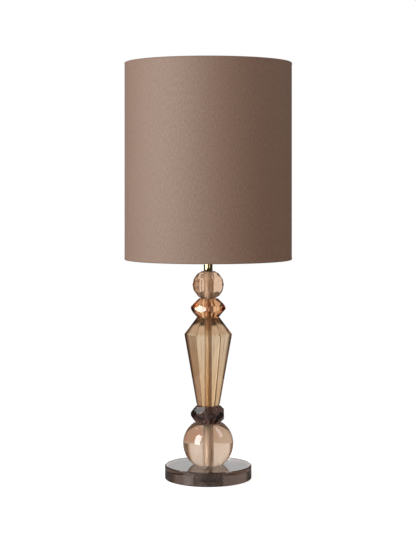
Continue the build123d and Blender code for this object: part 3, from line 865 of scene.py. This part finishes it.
class LAMP_OT_stage(bpy.types.Operator):
    """Sets the camera, the world, the floor, the soft lamp and the cards"""
    bl_idname = "lamp.stage"
    bl_label = "Studio"

    def execute(self, context):
        studio = context.scene.lamp_studio
        self.camera(context, studio)
        self.world(context, studio)
        self.floor()
        self.key_lamp(context, studio)
        # mirrored as the bright patch on the left of the big ball, and the pale one on its right
        self.card("left_card", [(-1.38, -0.66, 0.08), (-0.97, -1.19, 0.08),
                                (-0.66, -1.02, 1.00), (-1.06, -0.43, 1.05)], 14.0)
        self.card("right_card", [(0.39, 0.15, 1.52), (1.19, -0.67, 0.75), (1.37, -0.07, 0.73),
                                 (0.72, 0.18, 1.39)], 4.0)
        # mirrored as the lines down the neck
        self.card("neck_card_left", [(-0.70, -1.08, 0.14), (-0.31, -1.26, 0.14),
                                     (-0.31, -1.26, 0.34), (-0.70, -1.08, 0.34)], 1.5)
        self.card("neck_card_right", [(0.50, -1.20, 0.14), (0.90, -0.94, 0.14),
                                      (0.90, -0.94, 0.34), (0.50, -1.20, 0.34)], 0.8)
        context.scene.view_settings.view_transform = "Standard"
        return {"FINISHED"}

    def camera(self, context, studio):
        """A level camera in front. The shift frames the lamp as the picture does."""
        width, height = 416, 540
        axis_column, horizon_row = 208.2, 182.0
        data = bpy.data.cameras.new("camera")
        data.sensor_width = 36.0
        data.lens = studio.pixels_per_radian / height * data.sensor_width
        data.shift_x = (width / 2 - axis_column) / height
        data.shift_y = (horizon_row - height / 2) / height
        camera = bpy.data.objects.new("camera", data)
        camera.location = (0, -studio.camera_distance, studio.camera_height)
        camera.rotation_euler = (radians(90), 0, 0)
        context.scene.collection.objects.link(camera)
        context.scene.camera = camera

    def world(self, context, studio):
        """White to the camera, and an even, warm sky to matt surfaces. Mirrors show only a narrow
        backdrop behind the lamp and a small bright spot high on the left. Through glass the
        backdrop is wider, and further round on the left, in a dim warm room, and glass also
        gathers light from the front and from the left."""
        world = bpy.data.worlds.new("studio")
        world.use_nodes = True
        tree = world.node_tree
        tree.nodes.clear()
        path = add(tree, "ShaderNodeLightPath").outputs
        toward = add(tree, "ShaderNodeTexCoord").outputs["Generated"]
        side, depth = separated(tree, toward)[:2]
        behind = spread(tree, depth, 0.0, 0.2)

        def between(left, right):
            """1 from a soft edge on the left to one on the right, and 0 beside them."""
            return maths(tree, "MULTIPLY", spread(tree, side, *left),
                         spread(tree, side, *right, 1.0, 0.0))

        def round_spot(direction, outer, inner, strength):
            """A round soft light. The dot product of a view with its direction is outer where it
            starts, and inner where it has its whole strength."""
            near = vector_maths(tree, "DOT_PRODUCT", toward, direction)["Value"]
            return spread(tree, near, outer, inner, 0.0, strength)

        narrow = between((-0.12, -0.06), (0.06, 0.12))
        glint_level, dark_in_mirrors = 2.9, 0.04
        glint = round_spot((-0.62, 0.214, 0.755), 0.9960, 0.9980, glint_level)
        mirrored = maths(tree, "ADD", maths(tree, "MULTIPLY", behind, narrow), glint)
        mirrored = maths(tree, "MAXIMUM", mirrored, dark_in_mirrors)

        wide = between((-0.86, -0.72), (0.53, 0.77))
        backdrop = maths(tree, "MULTIPLY", behind, wide)
        window = round_spot((-0.80, -0.57, 0.19), 0.60, 0.96, studio.window_level)
        front = spread(tree, depth, -0.8, -0.2, studio.front_level, 0.0)
        gathered = maths(tree, "ADD", window, front)
        through = spread(tree, backdrop, 0.0, 1.0, studio.dark_level, 1.0, smooth=False)
        through = maths(tree, "ADD", through, gathered)

        strength = studio.sky_level
        for ray, level in (("Is Glossy Ray", mirrored), ("Is Transmission Ray", through),
                           ("Is Camera Ray", 1.0)):
            strength = mix_value(tree, path[ray], strength, level)

        unlit = maths(tree, "SUBTRACT", 1.0, maths(tree, "MAXIMUM", backdrop, gathered))
        unlit = maths(tree, "MULTIPLY", path["Is Transmission Ray"],
                      maths(tree, "MAXIMUM", unlit, 0.0))
        unlit = maths(tree, "MULTIPLY", unlit,
                      maths(tree, "SUBTRACT", 1.0, path["Is Camera Ray"]))
        seen = maths(tree, "MAXIMUM", path["Is Camera Ray"],
                     maths(tree, "MAXIMUM", path["Is Glossy Ray"], path["Is Transmission Ray"]))
        white, warm_room, warm_sky = (1, 1, 1, 1), (1.0, 0.65, 0.40, 1), (1.03, 0.86, 0.75, 1)
        shown = mix_colour(tree, unlit, white, warm_room)
        shown = mix_colour(tree, seen, warm_sky, shown)
        background = add(tree, "ShaderNodeBackground", {"Color": shown, "Strength": strength})
        add(tree, "ShaderNodeOutputWorld", {0: background.outputs[0]})
        context.scene.world = world

    def floor(self):
        """A pale table top that keeps the lamp's shadow and looks white where it is open. It
        ends a little behind the lamp. To glass it glows, with a painted patch of warm light where
        light through the crystals would fall, behind the lamp on the right, and in mirrors it is
        glossy."""
        side, front, back = 1.0, -0.7, 0.29
        corners = np.array([(-side, front, 0), (side, front, 0), (side, back, 0),
                            (-side, back, 0)])
        material, tree = new_material("pale_floor")
        path = add(tree, "ShaderNodeLightPath").outputs
        pale, mirrored, in_glass = rgba([0.8] * 3), rgba([0.5] * 3), rgba([0.1] * 3)
        cloth = mix_colour(tree, path["Is Glossy Ray"], pale, mirrored)
        cloth = mix_colour(tree, path["Is Transmission Ray"], cloth, in_glass)
        matt = add(tree, "ShaderNodeBsdfDiffuse", {"Color": cloth})
        place = add(tree, "ShaderNodeTexCoord").outputs["Object"]
        # painted light: a warm patch that glass sees on the floor, standing for light through the
        # crystals
        painted_patch_middle = (0.10, 0.14, 0.0)
        away = vector_maths(tree, "DISTANCE", place, painted_patch_middle)["Value"]
        painted_light_patch, beside, open_floor = (0.72, 0.52, 0.42, 1), (0.80, 0.72, 0.64, 1), rgba([0.75] * 3)
        warm = mix_colour(tree, spread(tree, away, 0.04, 0.20), painted_light_patch, beside)
        light = mix_colour(tree, path["Is Camera Ray"], warm, open_floor)
        shows = maths(tree, "MAXIMUM", path["Is Camera Ray"], path["Is Transmission Ray"])
        glow = add(tree, "ShaderNodeEmission", {"Color": light, "Strength": shows})
        lit = add(tree, "ShaderNodeAddShader", {0: matt.outputs[0], 1: glow.outputs[0]})
        mirror = add(tree, "ShaderNodeBsdfGlossy", {"Roughness": 0.02})
        mirror_share = maths(tree, "MULTIPLY", path["Is Glossy Ray"], 0.12)
        polished = add(tree, "ShaderNodeMixShader",
                       {0: mirror_share, 1: lit.outputs[0], 2: mirror.outputs[0]})
        add(tree, "ShaderNodeOutputMaterial", {"Surface": polished.outputs[0]})
        mesh_piece("floor", corners, [[0, 1, 2, 3]], material, smooth=False)

    def key_lamp(self, context, studio):
        """A large soft lamp on the left, a little cool, that no mirror shows."""
        data = bpy.data.lights.new("key", "AREA")
        data.shape = "RECTANGLE"
        data.size, data.size_y = 0.9, 1.2
        data.energy = studio.key_power
        data.color = (0.82, 0.98, 1.14)
        turn, rise, distance = radians(-49), radians(18), 1.8
        target = np.array([0, 0, 0.40])
        away = np.array([np.sin(turn) * np.cos(rise), -np.cos(turn) * np.cos(rise),
                         np.sin(rise)])
        lamp = bpy.data.objects.new("key", data)
        lamp.location = target + away * distance
        lamp.rotation_euler = (pi / 2 - rise, 0, turn)
        lamp.visible_glossy = False
        lamp.visible_camera = False
        context.scene.collection.objects.link(lamp)

    def card(self, name, corners, strength):
        """A bright card that only mirrors show."""
        material, tree = new_material(name)
        glow = add(tree, "ShaderNodeEmission", {"Color": (1, 1, 1, 1), "Strength": strength})
        add(tree, "ShaderNodeOutputMaterial", {"Surface": glow.outputs[0]})
        card = mesh_piece(name, np.array(corners), [[0, 1, 2, 3]], material, smooth=False)
        for ray in ("camera", "diffuse", "transmission", "volume_scatter", "shadow"):
            setattr(card, "visible_" + ray, False)


# ---- the sidebar ----

OPERATORS = (LAMP_OT_effects, LAMP_OT_stage, LAMP_OT_foot, LAMP_OT_crystals, LAMP_OT_stem,
             LAMP_OT_holder, LAMP_OT_shade, LAMP_OT_bulb)


class LAMP_PT_panel(bpy.types.Panel):
    """Settings and steps of the lamp"""
    bl_idname = "LAMP_PT_panel"
    bl_label = "Candlestick lamp"
    bl_space_type = "VIEW_3D"
    bl_region_type = "UI"
    bl_category = "Lamp"

    def draw(self, context):
        for settings in (context.scene.lamp_sizes, context.scene.lamp_colours,
                         context.scene.lamp_studio):
            box = self.layout.box()
            for name in settings.__annotations__:
                box.prop(settings, name)
        for step in OPERATORS:
            self.layout.operator(step.bl_idname)


SETTINGS = {"lamp_sizes": LampSizes, "lamp_colours": LampColours, "lamp_studio": LampStudio}


def register():
    """Registers the settings, the operators and the panel."""
    for item in (*SETTINGS.values(), *OPERATORS, LAMP_PT_panel):
        bpy.utils.register_class(item)
    for name, group in SETTINGS.items():
        setattr(bpy.types.Scene, name, bpy.props.PointerProperty(type=group))


def unregister():
    """Takes them out again, in reverse."""
    for name in SETTINGS:
        delattr(bpy.types.Scene, name)
    for item in reversed((*SETTINGS.values(), *OPERATORS, LAMP_PT_panel)):
        bpy.utils.unregister_class(item)


def main():
    """Builds the lamp and its studio."""
    register()
    for step in OPERATORS:
        getattr(bpy.ops.lamp, step.bl_idname.split(".")[1])()


if __name__ == "__main__":
    main()
